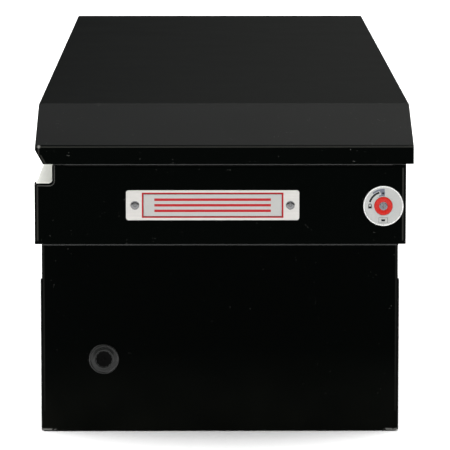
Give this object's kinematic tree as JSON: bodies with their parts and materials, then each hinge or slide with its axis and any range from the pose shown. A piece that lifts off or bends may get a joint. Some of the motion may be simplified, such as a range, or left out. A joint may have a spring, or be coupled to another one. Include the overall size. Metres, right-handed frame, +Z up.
{
  "type": "crossover truck tool box",
  "caption": "Steel crossover tool box that spans a truck bed on its rails: gloss black tub and saddle, one gas-sprung lid on a continuous hinge, push-button locks, sliding tray.",
  "frame": {"origin": "middle of the rectangle that the box stands on, on the undersides of its feet", "axes": "+X along the box across the truck, +Y towards the hinge side, +Z up"},
  "size_m": [1.8162, 0.5144, 0.4699],
  "materials": {
    "black_paint": "gloss black powder coat on sheet steel",
    "bright_strip": "mill finish strip",
    "zinc_steel": "zinc plated",
    "tray_metal": "black powder coat",
    "seal_rubber": "foam rubber strip",
    "pad_rubber": "smooth rubber",
    "plug_rubber": "moulded rubber",
    "plate_metal": "brushed sheet",
    "rivet_metal": "domed rivets",
    "dial_metal": "satin face with bright rim",
    "red_button": "gloss red",
    "key_metal": "plated",
    "stay_black": "black",
    "stay_rod": "polished"
  },
  "bodies": {
    "box": {"cable_plug_left": "plug_rubber", "cable_plug_right": "plug_rubber", "floor_pan": "black_paint", "front_collar": "black_paint", "front_wall": "black_paint", "hinge_body_leaf": "bright_strip", "hinge_pin": "zinc_steel", "hook_pins": "zinc_steel", "hook_springs": "zinc_steel", "latch_bracket_left": "zinc_steel", "latch_bracket_right": "zinc_steel", "lock_barrel_left": "zinc_steel", "lock_barrel_right": "zinc_steel", "lock_dial_left": "dial_metal", "lock_dial_right": "dial_metal", "lock_nuts": "zinc_steel", "name_plate_left": "plate_metal", "name_plate_right": "plate_metal", "plate_rivets": "rivet_metal", "rail_pads_left": "pad_rubber", "rail_pads_right": "pad_rubber", "rear_collar": "black_paint", "rear_wall": "black_paint", "rim_seal": "seal_rubber", "rod_guides": "black_paint", "saddle_end_left": "black_paint", "saddle_end_right": "black_paint", "saddle_shelf_left": "black_paint", "saddle_shelf_right": "black_paint", "stay_base_bracket_left": "zinc_steel", "stay_base_bracket_right": "zinc_steel", "tray_rail_front": "black_paint", "tray_rail_rear": "black_paint", "tub_end_left": "black_paint", "tub_end_right": "black_paint"},
    "lid": {"lid_skin": "black_paint", "lid_frame": "black_paint", "lid_stiffeners": "black_paint", "hinge_lid_leaf": "bright_strip", "striker_left": "zinc_steel", "striker_right": "zinc_steel", "stay_lid_bracket_left": "zinc_steel", "stay_lid_bracket_right": "zinc_steel"},
    "linkage": {"release_rod": "zinc_steel"},
    "tray": {"parts_tray": "tray_metal", "tray_dividers": "tray_metal"},
    "gas_tube_left": {"gas_spring_tube_left": "stay_black"},
    "gas_rod_left": {"gas_spring_rod_left": "stay_rod"},
    "hook_left": {"latch_hook_left": "zinc_steel"},
    "button_left": {"push_button_left": "red_button"},
    "key_left": {"key_cylinder_left": "key_metal"},
    "gas_tube_right": {"gas_spring_tube_right": "stay_black"},
    "gas_rod_right": {"gas_spring_rod_right": "stay_rod"},
    "hook_right": {"latch_hook_right": "zinc_steel"},
    "button_right": {"push_button_right": "red_button"},
    "key_right": {"key_cylinder_right": "key_metal"}
  },
  "joints": [
    {"name": "lid_hinge", "type": "hinge", "parent": "box", "child": "lid", "pos_m": [0, 0.23547, 0.4044], "axis": [-1, 0, 0], "range_deg": [0, 76]},
    {"name": "release_rod_slide", "type": "slide", "parent": "box", "child": "linkage", "axis": [1, 0, 0], "range_m": [0, 0.00235], "stiffness_N_per_m": 800},
    {"name": "tray_slide", "type": "slide", "parent": "box", "child": "tray", "axis": [-1, 0, 0], "range_m": [0, 1]},
    {"name": "gas_tube_left_pivot", "type": "hinge", "parent": "box", "child": "gas_tube_left", "pos_m": [-0.876, -0.03, 0.312], "axis": [1, 0, 0], "range_deg": [0, 8.65]},
    {"name": "gas_rod_left_slide", "type": "slide", "parent": "gas_tube_left", "child": "gas_rod_left", "axis": [0, 0.8848, 0.4659], "range_m": [0, 0.10469]},
    {"name": "hook_left_turn", "type": "hinge", "parent": "box", "child": "hook_left", "pos_m": [-0.872, -0.2162, 0.314], "axis": [0, 1, 0], "range_deg": [0, 9.01]},
    {"name": "button_left_press", "type": "slide", "parent": "box", "child": "button_left", "axis": [1, 0, 0], "range_m": [0, 0.005], "stiffness_N_per_m": 300},
    {"name": "key_left_turn", "type": "hinge", "parent": "button_left", "child": "key_left", "pos_m": [-0.905, -0.2162, 0.3427], "axis": [1, 0, 0], "range_deg": [0, 90]},
    {"name": "gas_tube_right_pivot", "type": "hinge", "parent": "box", "child": "gas_tube_right", "pos_m": [0.876, -0.03, 0.312], "axis": [1, 0, 0], "range_deg": [0, 8.65]},
    {"name": "gas_rod_right_slide", "type": "slide", "parent": "gas_tube_right", "child": "gas_rod_right", "axis": [0, 0.8848, 0.4659], "range_m": [0, 0.10469]},
    {"name": "hook_right_turn", "type": "hinge", "parent": "box", "child": "hook_right", "pos_m": [0.872, -0.2162, 0.314], "axis": [0, -1, 0], "range_deg": [0, 9.01]},
    {"name": "button_right_press", "type": "slide", "parent": "box", "child": "button_right", "axis": [-1, 0, 0], "range_m": [0, 0.005], "stiffness_N_per_m": 300},
    {"name": "key_right_turn", "type": "hinge", "parent": "button_right", "child": "key_right", "pos_m": [0.905, -0.2162, 0.3427], "axis": [-1, 0, 0], "range_deg": [0, 90]}
  ],
  "couplings": [
    {"joint": "gas_tube_left_pivot", "follows": "lid_hinge", "ratio": 0.11366},
    {"joint": "gas_rod_left_slide", "follows": "lid_hinge", "m_per_rad": 0.078775},
    {"joint": "hook_left_turn", "follows": "release_rod_slide", "rad_per_m": 66.942},
    {"joint": "gas_tube_right_pivot", "follows": "lid_hinge", "ratio": 0.11366},
    {"joint": "gas_rod_right_slide", "follows": "lid_hinge", "m_per_rad": 0.078775},
    {"joint": "hook_right_turn", "follows": "release_rod_slide", "rad_per_m": 66.942}
  ]
}
